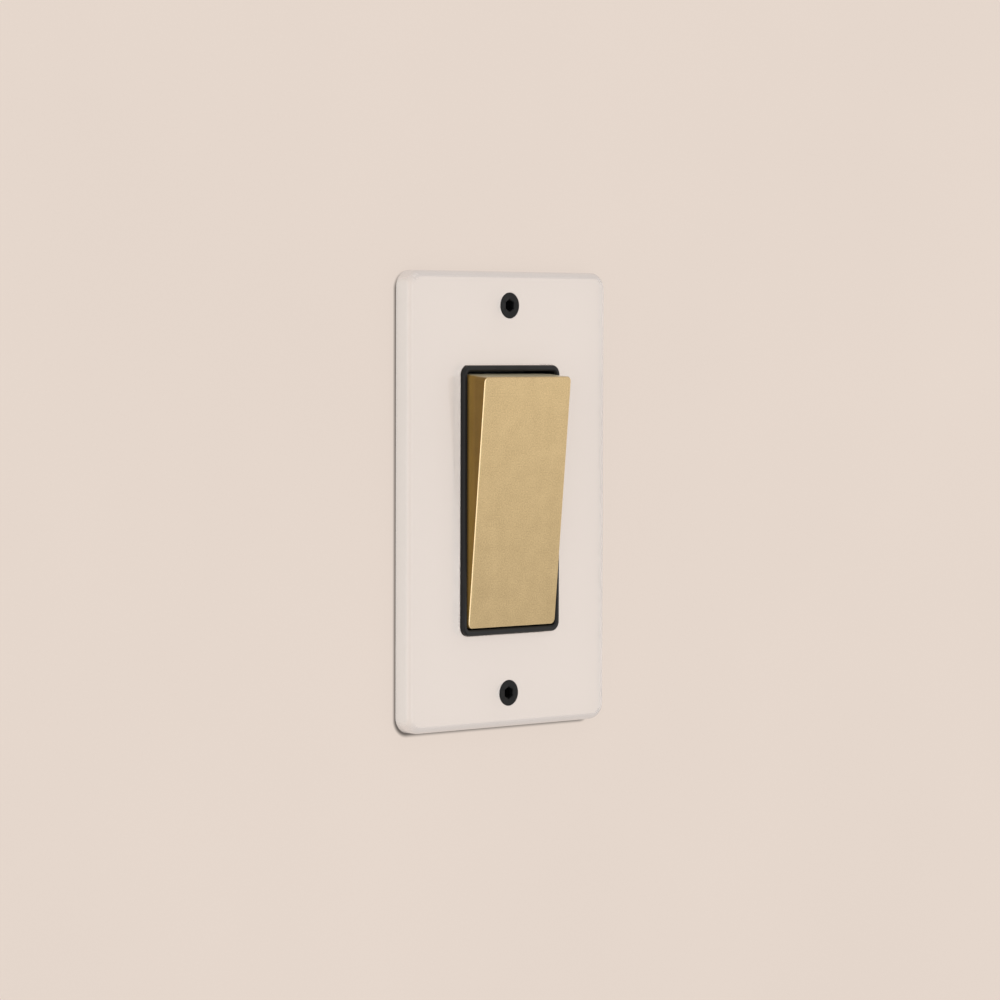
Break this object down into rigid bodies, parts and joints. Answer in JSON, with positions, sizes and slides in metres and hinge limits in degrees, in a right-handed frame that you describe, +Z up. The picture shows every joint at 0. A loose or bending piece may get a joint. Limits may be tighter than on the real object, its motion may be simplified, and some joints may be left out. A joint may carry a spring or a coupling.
{
  "type": "retractive rocker switch",
  "caption": "Spring-return rocker wall switch: a tilted satin brass rocker in a black bezel on a clear face plate, with its contact box, mounting strap and side terminals behind.",
  "frame": {"origin": "middle of the face plate's back, on the wall's surface", "axes": "+Z up along the plate's height, +Y into the wall, so the rocker faces -Y, +X to the viewer's right"},
  "size_m": [0.0684, 0.0381, 0.1138],
  "materials": {
    "clear_acrylic": "polished clear",
    "black_steel": "satin black",
    "bezel_black": "fine matt",
    "bright_steel": "bright drawn",
    "satin_brass": "satin antique",
    "moulded_black": "moulded",
    "moulded_grey": "moulded",
    "zinc_steel": "zinc plated",
    "pad_rubber": "soft",
    "natural_nylon": "natural",
    "contact_copper": "rolled strip",
    "contact_silver": "bright",
    "terminal_brass": "bright",
    "earth_green": "green lacquer"
  },
  "bodies": {
    "base": {"face_plate": "clear_acrylic", "plate_screws": "black_steel", "bezel_frame": "bezel_black", "pivot_pin": "bright_steel", "mounting_strap": "zinc_steel", "switch_housing": "moulded_grey", "rear_cover": "moulded_black", "assembly_screws": "zinc_steel", "stop_pads": "pad_rubber", "return_spring": "bright_steel", "fixed_contacts": "contact_silver", "supply_terminal": "terminal_brass", "switched_terminal": "terminal_brass", "wire_clamps": "zinc_steel", "terminal_screws": "terminal_brass", "earth_screw": "earth_green"},
    "rocker": {"rocker_cap": "satin_brass", "rocker_carrier": "moulded_black"},
    "plunger": {"contact_plunger": "natural_nylon", "contact_bridge": "contact_copper", "moving_contacts": "contact_silver", "bridge_clip": "bright_steel"}
  },
  "joints": [
    {"name": "rocker_press", "type": "hinge", "parent": "base", "child": "rocker", "pos_m": [0, -0.0032, 0], "axis": [-1, 0, 0], "range_deg": [0, 10.5], "stiffness_Nm_per_rad": 0.06, "springref_deg": -22.92},
    {"name": "plunger_travel", "type": "slide", "parent": "base", "child": "plunger", "axis": [0, 1, 0], "range_m": [0, 0.0022], "deforming": ["return_spring"]}
  ],
  "couplings": [
    {"joint": "plunger_travel", "follows": "rocker_press", "m_per_rad": 0.011983}
  ]
}
